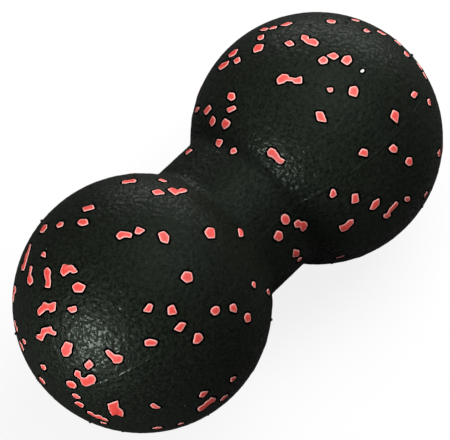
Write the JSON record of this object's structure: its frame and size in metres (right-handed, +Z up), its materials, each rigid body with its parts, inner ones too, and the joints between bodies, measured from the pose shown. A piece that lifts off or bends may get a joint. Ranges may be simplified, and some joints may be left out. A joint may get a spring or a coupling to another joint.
{
  "type": "peanut massage ball",
  "caption": "Peanut shaped massage ball of moulded bead foam: two equal balls joined by a short waist with blended edges, black with scattered red beads.",
  "frame": {"origin": "middle of the waist, the centre of the whole form", "axes": "+X along the long axis through both balls, +Z up, with the parting line 44 degrees round from +Z towards -Y"},
  "size_m": [0.1604, 0.08, 0.0801],
  "materials": {
    "black_bead_foam": "matte",
    "red_bead_foam": "matte"
  },
  "bodies": {
    "root": {"peanut_ball": "black_bead_foam"}
  },
  "joints": []
}
